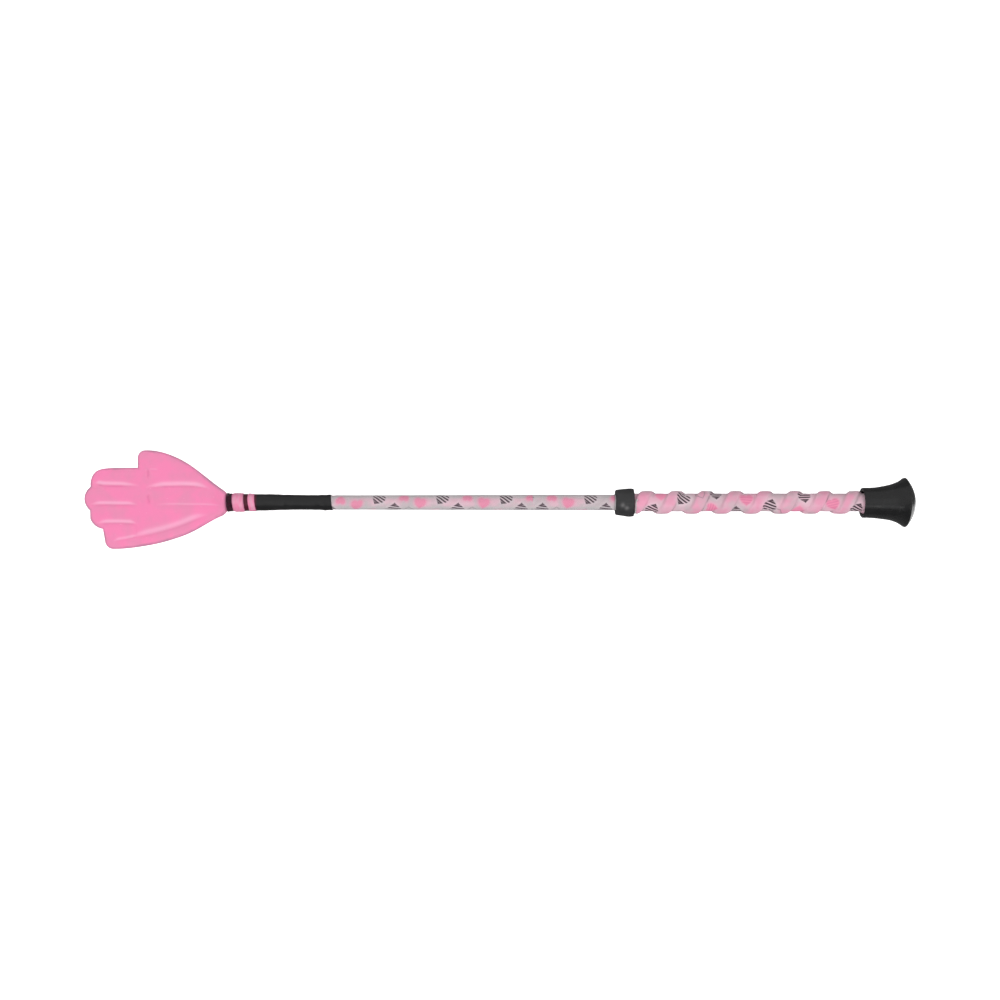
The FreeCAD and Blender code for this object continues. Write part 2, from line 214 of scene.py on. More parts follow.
class Graph:
    """Shader nodes, made and wired by plain calls. A value is a number, a colour or another node's output."""

    def __init__(self, tree):
        self.tree = tree

    def add(self, kind, **settings):
        """A node with its settings."""
        node = self.tree.nodes.new(kind)
        for key, value in settings.items():
            setattr(node, key, value)
        return node

    def put(self, socket, value):
        """Sets or wires one input."""
        if isinstance(value, bpy.types.NodeSocket):
            self.tree.links.new(value, socket)
        elif value is not None:
            socket.default_value = value

    def calc(self, operation, *values, clamp=False):
        """A math node's output."""
        node = self.add("ShaderNodeMath", operation=operation, use_clamp=clamp)
        for socket, value in zip(node.inputs, values):
            self.put(socket, value)
        return node.outputs[0]

    def ramp(self, value, low, high, to_low=0.0, to_high=1.0):
        """A smooth step of a value from one level to another."""
        node = self.add("ShaderNodeMapRange", interpolation_type="SMOOTHSTEP")
        for name, given in (("Value", value), ("From Min", low), ("From Max", high)):
            self.put(node.inputs[name], given)
        node.inputs["To Min"].default_value = to_low
        node.inputs["To Max"].default_value = to_high
        return node.outputs[0]

    def mix(self, share, first, second):
        """A mix of two colours."""
        node = self.add("ShaderNodeMix", data_type="RGBA")
        self.put(node.inputs[0], share)
        self.put(node.inputs[6], first)
        self.put(node.inputs[7], second)
        return node.outputs[2]

    def place(self, stretch=(1.0, 1.0, 1.0)):
        """The object's own coordinates in millimetres, stretched."""
        coordinates = self.add("ShaderNodeTexCoord").outputs["Object"]
        node = self.add("ShaderNodeVectorMath", operation="MULTIPLY")
        self.put(node.inputs[0], coordinates)
        node.inputs[1].default_value = [1 / MM * s for s in stretch]
        return node.outputs[0]

    def noise(self, size, where, detail=2.0, distortion=0.0):
        """Noise with features about size millimetres across."""
        node = self.add("ShaderNodeTexNoise")
        self.put(node.inputs["Vector"], where)
        node.inputs["Scale"].default_value = 1 / size
        node.inputs["Detail"].default_value = detail
        node.inputs["Distortion"].default_value = distortion
        return node.outputs["Fac"]

    def value_of(self, name):
        """A number stored on the vertices."""
        return self.add("ShaderNodeAttribute", attribute_name=name).outputs["Fac"]

    def bumped(self, height, depth_mm, normal=None):
        """A normal bumped by a height of 0 to 1 that stands for a depth in millimetres."""
        node = self.add("ShaderNodeBump")
        node.inputs["Strength"].default_value = 1.0
        node.inputs["Distance"].default_value = depth_mm * MM
        self.put(node.inputs["Height"], height)
        if normal is not None:
            self.put(node.inputs["Normal"], normal)
        return node.outputs[0]


def surface(name, build):
    """A material whose shader is built by build(graph, shader) on a Principled node."""
    material = bpy.data.materials.new(name)
    material.use_nodes = True
    graph = Graph(material.node_tree)
    shader = next(n for n in material.node_tree.nodes if n.type == "BSDF_PRINCIPLED")
    build(graph, shader)
    return material


def grained(name, colour, darker, roughness, grain_mm, depth_mm, stretch=(1, 1, 1), metal=0.0, sheen=0.0):
    """A material with two tones in patches, a fine grain and uneven roughness."""

    def build(graph, shader):
        where = graph.place(stretch)
        patches = graph.noise(9 * grain_mm, where, 3)
        grain = graph.noise(grain_mm, where, 4)
        tone = graph.calc("ADD", graph.calc("MULTIPLY", patches, 0.6), graph.calc("MULTIPLY", grain, 0.4))
        graph.put(shader.inputs["Base Color"], graph.mix(graph.ramp(tone, 0.35, 0.65), colour, darker))
        graph.put(shader.inputs["Roughness"], graph.ramp(patches, 0.3, 0.7, roughness - 0.06, roughness + 0.08))
        graph.put(shader.inputs["Normal"], graph.bumped(grain, depth_mm))
        shader.inputs["Metallic"].default_value = metal
        shader.inputs["Sheen Weight"].default_value = sheen

    return surface(name, build)


def moulded_vinyl():
    """Soft pink vinyl of the hand: faint mottling, a satin skin, painted shade in the moulded lines, painted
    highlights on their upper flanks, small painted glints and painted shade greying the edges.
    """

    def build(graph, shader):
        where = graph.place()
        clouds = graph.noise(14.0, where, 3)
        fine = graph.noise(0.55, where, 4)
        pink = graph.mix(graph.ramp(clouds, 0.35, 0.65), linear(249, 137, 184), linear(238, 142, 181))
        # painted shade: the moulded lines are darkened where shade falls in them
        lined = graph.mix(graph.calc("MULTIPLY", graph.value_of("groove"), 0.4), pink, linear(205, 96, 140))
        # painted highlight: the lit upper flank of each moulded line is lightened
        high = graph.mix(graph.calc("MULTIPLY", graph.value_of("painted_flank_highlight"), 0.9), lined, linear(255, 192, 220))
        # painted glints: sparse small pale specks
        glint_specks = graph.ramp(graph.noise(1.2, where, 2), 0.7, 0.78, 0.0, 0.6)
        before_edge_shade = graph.mix(glint_specks, high, linear(255, 196, 220))
        uneven = graph.ramp(graph.noise(9.0, where, 3), 0.3, 0.7, 0.1, 0.75)
        # painted shade: the rim is greyed, in patches, where the edge turns away
        edge_shade = graph.calc("MULTIPLY", graph.value_of("rim"), uneven)
        graph.put(shader.inputs["Base Color"], graph.mix(edge_shade, before_edge_shade, linear(172, 128, 150)))
        graph.put(shader.inputs["Roughness"], graph.ramp(graph.noise(3.5, where, 4), 0.3, 0.7, 0.42, 0.56))
        shader.inputs["Specular IOR Level"].default_value = 0.35
        shader.inputs["Subsurface Weight"].default_value = 0.08
        shader.inputs["Subsurface Radius"].default_value = (1.0, 0.4, 0.45)
        shader.inputs["Subsurface Scale"].default_value = 1.5 * MM
        soft = graph.bumped(graph.noise(2.6, where, 2), 0.05)
        graph.put(shader.inputs["Normal"], graph.bumped(fine, 0.02, soft))

    return surface("moulded_pink_vinyl", build)


def band_vinyl():
    """Pink vinyl bands: darker where the sleeve shows through, with fine streaks round the neck."""

    def build(graph, shader):
        where = graph.place((1.0, 0.35, 0.35))
        clouds = graph.noise(2.2, where, 3)
        streaks = graph.noise(0.5, graph.place((1.0, 0.08, 0.08)), 3)
        pale = graph.mix(graph.ramp(clouds, 0.32, 0.68), linear(232, 160, 187), linear(238, 132, 172))
        thin = graph.calc("MULTIPLY", graph.value_of("rim"), 0.7)
        graph.put(shader.inputs["Base Color"], graph.mix(thin, pale, linear(178, 106, 136)))
        graph.put(shader.inputs["Roughness"], graph.ramp(clouds, 0.3, 0.7, 0.25, 0.42))
        shader.inputs["Coat Weight"].default_value = 0.2
        shader.inputs["Coat Roughness"].default_value = 0.2
        folds = graph.bumped(clouds, 0.12)
        graph.put(shader.inputs["Normal"], graph.bumped(streaks, 0.03, folds))

    return surface("pink_band_vinyl", build)


def wound_thread():
    """Dark wine thread, its fibres running with the thread, slightly fuzzy."""

    def build(graph, shader):
        fibres = graph.noise(0.16, graph.place((0.7, 1.0, 1.0)), 4)
        patches = graph.noise(1.6, graph.place(), 2)
        tone = graph.mix(graph.ramp(fibres, 0.35, 0.65), linear(26, 8, 18), linear(66, 26, 44))
        graph.put(shader.inputs["Base Color"], graph.mix(graph.ramp(patches, 0.4, 0.75), tone, linear(66, 14, 38)))
        shader.inputs["Roughness"].default_value = 0.7
        shader.inputs["Specular IOR Level"].default_value = 0.25
        shader.inputs["Sheen Weight"].default_value = 0.1
        graph.put(shader.inputs["Normal"], graph.bumped(fibres, 0.05))

    return surface("wine_thread", build)


def black_plastic(name, tone, roughness, streak=(0.25, 1.0, 1.0), stain_x=None, painted_knob_highlight=False):
    """Black rubber or shrink plastic: a fine grain, faint dust and soft streaks.

    stain_x is where a wine-red stain from the pink bands fades out. The last argument reads painted highlights stored
    on the vertices: pale patches on the collar's knobs.
    """

    def build(graph, shader):
        where = graph.place()
        dust = graph.noise(6.0, where, 5, 0.4)
        grain = graph.noise(0.35, where, 3)
        streaks = graph.noise(2.4, graph.place(streak), 3)
        dark = linear(tone, tone, tone + 1)
        dusty = linear(tone + 14, tone + 13, tone + 14)
        colour = graph.mix(graph.ramp(dust, 0.45, 0.85, 0.0, 0.6), dark, dusty)
        if stain_x is not None:
            split = graph.add("ShaderNodeSeparateXYZ")
            graph.put(split.inputs[0], where)
            stained = graph.ramp(split.outputs["X"], stain_x + 1.6, stain_x, 0.0, 0.95)
            colour = graph.mix(stained, colour, linear(76, 3, 32))
        if painted_knob_highlight:
            # painted highlight: pale patches on the collar's knobs
            colour = graph.mix(graph.value_of("knob_highlight_share"), colour, linear(116, 114, 115))
        graph.put(shader.inputs["Base Color"], colour)
        graph.put(shader.inputs["Roughness"], graph.ramp(streaks, 0.3, 0.7, roughness - 0.06, roughness + 0.08))
        broad = graph.bumped(streaks, 0.06)
        graph.put(shader.inputs["Normal"], graph.bumped(grain, 0.018, broad))

    return surface(name, build)


# Motifs of the printed film: (place along, place round, turn in degrees, half width, kind). Places round the
# shaft are arc lengths from the palm side. The shaft's row repeats, and the grip's film is drawn out unevenly.
SHAFT_REPEAT_MM = 46.3
SHAFT_ROW_START_X = -172.7
SHAFT_ROW_SLIP = (-60.0, 15.3)  # from this x on, the artwork lies this much further along
SHAFT_TWIST = (-192.0, -180.0, 2.4)  # the film is twisted round by this arc before the first x and not after the next
SHAFT_MOTIFS = (
    (-0.3, 2.6, -34.0, 5.1, "zebra"),
    (11.7, -4.9, 176.0, 5.3, "zebra"),
    (18.9, 4.6, 175.0, 3.5, "hot"),
    (30.4, -0.9, -12.0, 4.3, "hot"),
    (22.2, -7.2, 180.0, 4.2, "outline"),
    (5.6, -8.6, 170.0, 3.8, "outline"),
    (1.5, 15.6, 20.0, 4.6, "zebra"),
    (14.0, 13.0, -30.0, 4.5, "hot"),
    (26.0, 14.8, 150.0, 4.7, "zebra"),
    (34.0, -13.0, 25.0, 4.4, "zebra"),
    (41.5, -9.8, 10.0, 3.2, "hot"),
)
GRIP_MOTIFS = (
    (27.4, -5.2, 152.0, 5.2, "zebra"),
    (48.8, 2.4, -36.0, 5.3, "zebra"),
    (73.6, 6.8, 4.0, 4.9, "zebra"),
    (88.0, -7.2, 178.0, 4.9, "zebra"),
    (113.0, -1.8, 162.0, 5.4, "zebra"),
    (138.0, 4.2, 8.0, 5.0, "zebra"),
    (176.6, -4.8, 150.0, 5.3, "zebra"),
    (33.4, 5.2, 0.0, 4.0, "hot"),
    (71.0, -4.9, 85.0, 4.2, "rose"),
    (95.6, 1.9, 0.0, 4.9, "rose"),
    (133.9, -6.6, 170.0, 4.6, "hot"),
    (159.0, -2.0, 20.0, 4.9, "rose"),
    (20.4, 0.8, 60.0, 4.2, "patch"),
    (118.5, -8.5, 150.0, 4.2, "outline"),
    (62.5, 5.8, 20.0, 3.6, "outline"),
    (20.0, 18.5, 30.0, 4.8, "zebra"),
    (45.0, -15.0, -20.0, 4.8, "zebra"),
    (63.0, 15.0, 160.0, 4.4, "hot"),
    (84.0, 18.0, 10.0, 4.8, "zebra"),
    (106.0, 12.5, 200.0, 4.4, "hot"),
    (124.0, -16.5, -35.0, 4.8, "zebra"),
    (147.0, 16.0, 25.0, 4.6, "hot"),
    (168.0, -17.0, 170.0, 4.8, "zebra"),
)
ZEBRA_STRIPE_TURNS = 14.5  # how many radians of stripe one half width holds


def heart_group():
    """A node group that gives one printed heart: its crisp and its soft inside, halo, outline and stripes."""
    tree = bpy.data.node_groups.new("printed_heart", "ShaderNodeTree")
    for name in ("Along", "Round", "Centre Along", "Centre Round", "Turn", "Half Width", "Repeat", "Girth"):
        tree.interface.new_socket(name, in_out="INPUT", socket_type="NodeSocketFloat")
    for name in ("Inside", "Soft", "Halo", "Outline", "Stripes"):
        tree.interface.new_socket(name, in_out="OUTPUT", socket_type="NodeSocketFloat")
    graph = Graph(tree)
    given = graph.add("NodeGroupInput").outputs
    taken = graph.add("NodeGroupOutput").inputs

    def wrapped(value, centre, period):
        half = graph.calc("MULTIPLY", period, 0.5)
        return graph.calc("WRAP", graph.calc("SUBTRACT", value, centre), half, graph.calc("MULTIPLY", half, -1.0))

    along = wrapped(given["Along"], given["Centre Along"], given["Repeat"])
    across = wrapped(given["Round"], given["Centre Round"], given["Girth"])
    cosine, sine = graph.calc("COSINE", given["Turn"]), graph.calc("SINE", given["Turn"])
    a = graph.calc("ADD", graph.calc("MULTIPLY", along, cosine), graph.calc("MULTIPLY", across, sine))
    b = graph.calc("SUBTRACT", graph.calc("MULTIPLY", across, cosine), graph.calc("MULTIPLY", along, sine))
    a, b = (graph.calc("DIVIDE", v, given["Half Width"]) for v in (a, b))
    # Heart: a^2 + (1.15 b - 0.62 sqrt|a| + 0.15)^2 = 1.
    lobes = graph.calc("MULTIPLY", graph.calc("SQRT", graph.calc("ABSOLUTE", a)), 0.62)
    lifted = graph.calc("ADD", graph.calc("SUBTRACT", graph.calc("MULTIPLY", b, 1.15), lobes), 0.15)
    square = graph.calc("ADD", graph.calc("MULTIPLY", a, a), graph.calc("MULTIPLY", lifted, lifted))
    reach = graph.calc("SQRT", square)
    graph.put(taken["Inside"], graph.ramp(reach, 1.05, 0.88))
    graph.put(taken["Soft"], graph.ramp(reach, 1.2, 0.75))
    graph.put(taken["Halo"], graph.ramp(reach, 1.75, 0.9))
    from_edge = graph.calc("ABSOLUTE", graph.calc("SUBTRACT", reach, 0.95))
    graph.put(taken["Outline"], graph.ramp(from_edge, 0.2, 0.05))
    bend = graph.calc("MULTIPLY", graph.calc("SINE", graph.calc("MULTIPLY", a, 2.2)), 0.8)
    phase = graph.calc("ADD", graph.calc("MULTIPLY", b, ZEBRA_STRIPE_TURNS), graph.calc("ADD", bend, 1.4))
    strokes = graph.ramp(graph.calc("SINE", phase), -0.5, 0.1)
    graph.put(taken["Stripes"], graph.calc("MAXIMUM", strokes, graph.ramp(b, -0.5, -0.62)))
    return tree


def print_heart(graph, colour, kind, inside, soft, halo, outline, stripes):
    """The film's colour with one heart printed over it."""
    if kind == "zebra":
        colour = graph.mix(graph.calc("MULTIPLY", halo, 0.35), colour, linear(226, 214, 219))
        return graph.mix(graph.calc("MULTIPLY", inside, stripes), colour, linear(70, 48, 60))
    if kind == "outline":
        return graph.mix(graph.calc("MULTIPLY", outline, 0.5), colour, linear(118, 104, 110))
    colour = graph.mix(graph.calc("MULTIPLY", halo, 0.6), colour, linear(236, 168, 192))
    if kind == "patch":
        return graph.mix(graph.calc("MULTIPLY", soft, 0.3), colour, linear(238, 140, 176))
    colour = graph.mix(graph.calc("MULTIPLY", soft, 0.75), colour, linear(240, 132, 170))
    if kind == "rose":
        colour = graph.mix(graph.calc("MULTIPLY", soft, graph.calc("MULTIPLY", stripes, 0.4)), colour, linear(206, 104, 142))
    return colour


def printed_film(name, girth_radius, motifs, repeat=1000.0, start_x=0.0, slip=None, twist=None, raised=False):
    """Glossy film printed with plain and zebra hearts, greyed by painted shade at its silhouette, the shaft's also
    paled by a painted sheen just inside it, and darkened by painted shade in the grip's creases. raised reads the
    grip's ridge and makes it pinker.
    """
    hearts = heart_group()

    def build(graph, shader):
        where = graph.place()
        split = graph.add("ShaderNodeSeparateXYZ")
        graph.put(split.inputs[0], where)
        along = graph.calc("SUBTRACT", split.outputs["X"], start_x)
        if slip is not None:
            slipped = graph.calc("GREATER_THAN", split.outputs["X"], slip[0])
            along = graph.calc("SUBTRACT", along, graph.calc("MULTIPLY", slipped, slip[1]))
        angle = graph.calc("ARCTAN2", split.outputs["Y"], split.outputs["Z"])
        round_way = graph.calc("MULTIPLY", angle, girth_radius)
        if twist is not None:
            turned = graph.ramp(split.outputs["X"], twist[0], twist[1], twist[2], 0.0)
            round_way = graph.calc("ADD", round_way, turned)
        clouds = graph.noise(12.0, where, 2)
        colour = graph.mix(graph.ramp(clouds, 0.4, 0.6), linear(200, 185, 190), linear(226, 186, 200))
        facing = graph.add("ShaderNodeLayerWeight")
        facing.inputs["Blend"].default_value = 0.5
        if raised:
            drawn = graph.ramp(graph.noise(9.0, where, 2), 0.3, 0.65, 0.3, 0.95)
            share = graph.ramp(graph.value_of("raised"), 0.0, 1.0, 0.3, 1.0)
            colour = graph.mix(graph.calc("MULTIPLY", share, drawn), colour, linear(232, 156, 184))
        else:
            # painted sheen: the shaft's film turns pale grey towards its silhouette
            colour = graph.mix(graph.ramp(facing.outputs["Facing"], 0.02, 0.3, 0.0, 0.75), colour, linear(204, 202, 203))
        for place, across, turn, half_width, kind in motifs:
            heart = graph.add("ShaderNodeGroup", node_tree=hearts)
            values = (along, round_way, place, across, math.radians(turn), half_width, repeat)
            for socket, value in zip(heart.inputs, (*values, 2 * math.pi * girth_radius)):
                graph.put(socket, value)
            colour = print_heart(graph, colour, kind, *heart.outputs)
        if raised:
            # painted shade: the film's creases are darkened
            colour = graph.mix(graph.calc("MULTIPLY", graph.value_of("crease"), 0.75), colour, linear(112, 82, 96))
        # painted shade: both films turn grey at the silhouette
        grazing_shade = graph.ramp(facing.outputs["Facing"], 0.5 if raised else 0.3, 1.0, 0.0, 0.8)
        edge = linear(142, 124, 132) if raised else linear(168, 164, 166)
        graph.put(shader.inputs["Base Color"], graph.mix(grazing_shade, colour, edge))
        cloudy = graph.noise(2.2, graph.place((0.35, 1, 1)), 3)
        graph.put(shader.inputs["Roughness"], graph.ramp(cloudy, 0.3, 0.7, 0.36, 0.52))
        shader.inputs["Specular IOR Level"].default_value = 0.4
        shader.inputs["Coat Weight"].default_value = 0.1 if raised else 0.0
        shader.inputs["Coat Roughness"].default_value = 0.25
        graph.put(shader.inputs["Normal"], graph.bumped(cloudy, 0.06))

    return surface(name, build)


def clear_shrink_film():
    """Clear film: seen through face on, with a glossy, slightly wrinkled skin, a faint haze and a painted pale sheen
    that grows towards its silhouette.
    """
    material = bpy.data.materials.new("clear_shrink_film")
    material.use_nodes = True
    material.node_tree.nodes.clear()
    graph = Graph(material.node_tree)
    ripples = graph.noise(3.0, graph.place((0.3, 1, 1)), 3)
    normal = graph.bumped(ripples, 0.05)
    shader = graph.add("ShaderNodeBsdfPrincipled")
    shader.inputs["Base Color"].default_value = linear(206, 200, 203)
    graph.put(shader.inputs["Roughness"], graph.ramp(ripples, 0.3, 0.7, 0.14, 0.26))
    graph.put(shader.inputs["Normal"], normal)
    facing = graph.add("ShaderNodeLayerWeight")
    facing.inputs["Blend"].default_value = 0.25
    # a faint haze face on, growing at grazing angles into a painted pale sheen
    haze_and_sheen = graph.ramp(facing.outputs["Facing"], 0.0, 1.0, 0.04, 0.3)
    graph.put(shader.inputs["Alpha"], haze_and_sheen)
    graph.put(graph.add("ShaderNodeOutputMaterial").inputs["Surface"], shader.outputs[0])
    return material


def turned_steel():
    """Nail steel, brushed in circles on its head."""

    def build(graph, shader):
        split = graph.add("ShaderNodeSeparateXYZ")
        graph.put(split.inputs[0], graph.place())
        out = graph.calc("SQRT", graph.calc("ADD", graph.calc("MULTIPLY", split.outputs["Y"], split.outputs["Y"]),
                                            graph.calc("MULTIPLY", split.outputs["Z"], split.outputs["Z"])))
        rings = graph.calc("SINE", graph.calc("MULTIPLY", out, 40.0))
        spots = graph.noise(0.6, graph.place(), 4)
        graph.put(shader.inputs["Base Color"], graph.mix(graph.ramp(spots, 0.5, 0.8), linear(190, 190, 192), linear(130, 126, 122)))
        shader.inputs["Metallic"].default_value = 1.0
        graph.put(shader.inputs["Roughness"], graph.ramp(spots, 0.3, 0.7, 0.22, 0.4))
        graph.put(shader.inputs["Normal"], graph.bumped(rings, 0.004))

    return surface("turned_steel", build)


def turned_wood():
    """Hardwood of the plug, its grain along the shaft."""

    def build(graph, shader):
        grain = graph.noise(0.8, graph.place((0.08, 1, 1)), 4, 0.8)
        graph.put(shader.inputs["Base Color"], graph.mix(graph.ramp(grain, 0.35, 0.65), linear(196, 160, 116), linear(150, 112, 74)))
        shader.inputs["Roughness"].default_value = 0.6
        graph.put(shader.inputs["Normal"], graph.bumped(grain, 0.06))

    return surface("plug_hardwood", build)


# ---------------------------------------------------------------- hand

HINGE_X = box_mm("hand_front")[1][0]
NECK_X = box_mm("neck_whipping")[0][0]
HAND_TOP = box_mm("hand_front")[1][2]
NECK_NARROWING = 0.66
OUTLINE_STEP = 0.6
GRID_STEP = 0.75
RIM_ROUND = 1.7
RIM_WALL = 0.6
SEAM = 0.18
NECK_SWELL = 1.7
NECK_SWELL_LENGTH = 9.0

# Moulded lines as (points, depth, width above, width below). A point is (distance ahead of the flex line, distance
# to the thumb side). Lines run from the fingertips to the wrist, and "above" is their thumb side.
FINGER_LINES = (
    (((93.0, 13.6), (87.5, 12.5), (80.0, 12.2), (62.4, 11.8)), 0.8, 3.0, 0.7),
    (((95.0, -1.7), (79.5, -1.8), (63.0, -1.9)), 0.75, 2.6, 0.9),
    (((90.6, -15.4), (75.1, -15.3), (62.9, -15.8)), 0.75, 2.8, 0.9),
)
PALM_LINES = (
    (((63.6, -16.0), (63.3, -19.6), (63.2, -23.2)), 0.3, 0.7, 0.7),  # root of the little finger
    (((79.0, -28.4), (70.0, -26.9), (62.5, -25.0)), 0.5, 2.2, 0.9),  # heel, in two lengths
    (((65.0, -25.6), (56.0, -24.2), (44.0, -21.4), (32.0, -17.8), (20.0, -13.0), (12.0, -9.8)), 0.6, 4.2, 1.2),
    (((54.0, 10.7), (42.0, 11.4), (30.0, 11.7), (20.0, 11.3), (11.0, 10.0)), 0.75, 3.6, 0.6),
    (((47.3, -1.9), (30.0, -2.0), (14.0, -2.2), (1.2, -2.6)), 0.4, 1.5, 0.8),
    (((54.6, 24.4), (54.3, 18.0)), 0.8, 0.9, 0.9),  # thumb root
    (((53.4, 23.9), (46.4, 23.6)), 0.35, 1.1, 0.5),
    (((54.4, 6.0), (54.2, 2.4), (53.4, -1.2)), 0.8, 0.9, 0.9),
    (((97.4, 10.2), (92.0, 10.6), (86.9, 10.4), (86.2, 9.0)), 0.3, 0.9, 0.6),  # middle fingertip
)
BACK_LINES = (
    (((66.0, 20.0), (65.0, 16.0)), 0.3, 1.3, 1.3),  # knuckles
    (((62.5, 8.5), (62.0, 3.5)), 0.3, 1.3, 1.3),
    (((62.0, -6.0), (61.5, -11.0)), 0.3, 1.3, 1.3),
    (((60.0, -19.0), (60.0, -23.5)), 0.3, 1.3, 1.3),
)


def cad_outline(node):
    """The outline of a flat CAD slab's top face as ordered points in millimetres."""
    mesh = frame["nodes"][node].data
    top = max(v.co.z for v in mesh.vertices) - 0.01 * MM
    sides = {}
    for polygon in mesh.polygons:
        ends = [mesh.vertices[i].co for i in polygon.vertices]
        if min(p.z for p in ends) < top:
            continue
        keys = [(round(p.x / MM, 3), round(p.y / MM, 3)) for p in ends]
        for a, b in zip(keys, keys[1:] + keys[:1]):
            sides[frozenset((a, b))] = sides.get(frozenset((a, b)), 0) + 1
    neighbours = {}
    for side, uses in sides.items():
        if uses == 1 and len(side) == 2:
            a, b = side
            neighbours.setdefault(a, []).append(b)
            neighbours.setdefault(b, []).append(a)
    start = min(neighbours)
    loop, before = [start], None
    while True:
        after = next(p for p in sorted(neighbours[loop[-1]]) if p != before)
        if after == start:
            return np.array(loop)
        before = loop[-1]
        loop.append(after)


def resampled(loop, step):
    """The closed loop with points at an even step, its sharp corners kept."""
    ahead = np.roll(loop, -1, axis=0) - loop
    behind = loop - np.roll(loop, 1, axis=0)
    turn = np.arctan2(behind[:, 0] * ahead[:, 1] - behind[:, 1] * ahead[:, 0], (behind * ahead).sum(1))
    corners = [i for i in range(len(loop)) if abs(turn[i]) > math.radians(22)]
    result = []
    for first, last in zip(corners, corners[1:] + [corners[0] + len(loop)]):
        run = loop[np.arange(first, last + 1) % len(loop)]
        length = np.concatenate([[0], np.cumsum(np.linalg.norm(np.diff(run, axis=0), axis=1))])
        at = np.linspace(0, length[-1], max(1, round(length[-1] / step)) + 1)[:-1]
        result += list(zip(np.interp(at, length, run[:, 0]), np.interp(at, length, run[:, 1])))
    return np.array(result)


def distance_to(points, line, closed=False):
    """Each point's distance to a line of points."""
    line = np.asarray(line, float)
    ends = np.roll(line, -1, axis=0) if closed else line[1:]
    starts = line if closed else line[:-1]
    best = np.full(len(points), np.inf)
    for a, b in zip(starts, ends):
        side = b - a
        share = np.clip((points - a) @ side / max(side @ side, 1e-12), 0, 1)
        best = np.minimum(best, np.linalg.norm(points - a - share[:, None] * side, axis=1))
    return best


def inside(points, loop):
    """Whether each point lies inside a closed loop."""
    result = np.zeros(len(points), bool)
    for a, b in zip(loop, np.roll(loop, -1, axis=0)):
        crosses = (a[1] > points[:, 1]) != (b[1] > points[:, 1])
        rise = b[1] - a[1] if b[1] != a[1] else 1e-12
        result ^= crosses & (points[:, 0] < (b[0] - a[0]) * (points[:, 1] - a[1]) / rise + a[0])
    return result


def curved(points, pieces=8):
    """A smooth line through a few points."""
    p = np.array([points[0], *points, points[-1]], float)
    if len(points) == 2:
        return p[1:-1]
    line = []
    for i in range(1, len(p) - 2):
        for t in np.linspace(0, 1, pieces, endpoint=False):
            line.append(
                0.5 * (2 * p[i] + (p[i + 1] - p[i - 1]) * t
                       + (2 * p[i - 1] - 5 * p[i] + 4 * p[i + 1] - p[i + 2]) * t**2
                       + (3 * p[i] - p[i - 1] - 3 * p[i + 1] + p[i + 2]) * t**3)
            )
    line.append(p[-2])
    return np.array(line)


def hand_outline():
    """The hand's outline from its CAD slab, carried on to the whipping at the neck."""
    loop = cad_outline("hand_front")
    wrist = [i for i in range(len(loop)) if loop[i][0] > HINGE_X - 0.01]
    first, last = wrist[0], wrist[-1]
    if last - first == 1:
        loop = np.roll(loop, -last, axis=0)
    ends = loop[-1], loop[0]
    corners = [(NECK_X - 1.6, end[1] * 0.85) for end in ends]
    neck = [(NECK_X - 0.05, end[1] * NECK_NARROWING) for end in ends]
    return resampled(np.concatenate([loop, corners[:1], neck, corners[1:]]), OUTLINE_STEP)


def flat_mesh(loop):
    """Triangles that fill the outline: rings near the rim, an even grid inside. Returns points and faces."""
    ahead = np.roll(loop, -1, axis=0) - np.roll(loop, 1, axis=0)
    normal = np.stack([-ahead[:, 1], ahead[:, 0]], axis=1)
    normal /= np.linalg.norm(normal, axis=1)[:, None]
    if not inside(loop[:1] + 0.05 * normal[:1], loop)[0]:
        normal = -normal
    extra = []
    for depth in (0.2, 0.5, 0.9, 1.4):
        ring = loop + depth * normal
        keep = inside(ring, loop) & (distance_to(ring, loop, closed=True) > 0.96 * depth)
        extra.append(ring[keep])
    low, high = loop.min(0), loop.max(0)
    rows = np.arange(low[1], high[1], GRID_STEP * math.sqrt(0.75))
    grid = []
    for index, y in enumerate(rows):
        x = np.arange(low[0] + (index % 2) * GRID_STEP / 2, high[0], GRID_STEP)
        grid.append(np.stack([x, np.full(len(x), y)], axis=1))
    grid = np.concatenate(grid)
    grid = grid[inside(grid, loop)]
    extra.append(grid[distance_to(grid, loop, closed=True) > 1.9])
    points = np.concatenate([loop, *extra])
    edges = [(i, (i + 1) % len(loop)) for i in range(len(loop))]
    made = geometry.delaunay_2d_cdt([Vector(p) for p in points], edges, [], 1, 1e-5)
    rim = {given: made_index for made_index, sources in enumerate(made[3]) for given in sources if given < len(loop)}
    order = [rim[i] for i in range(len(loop))]
    return np.array([tuple(v) for v in made[0]]), [tuple(face) for face in made[2]], order


def line_offset(points, line):
    """Each point's distance to a line of points, below zero away from the thumb, and how far along it lies."""
    best = np.full(len(points), np.inf)
    side, along = np.ones(len(points)), np.zeros(len(points))
    for index, (a, b) in enumerate(zip(line[:-1], line[1:])):
        run, away = b - a, points - a
        share = np.clip(away @ run / max(run @ run, 1e-12), 0, 1)
        gap = np.linalg.norm(away - share[:, None] * run, axis=1)
        nearer = gap < best
        best = np.where(nearer, gap, best)
        side = np.where(nearer, np.sign(run[1] * away[:, 0] - run[0] * away[:, 1]), side)
        along = np.where(nearer, (index + share) / (len(line) - 1), along)
    return best * np.where(side == 0, 1, side), along


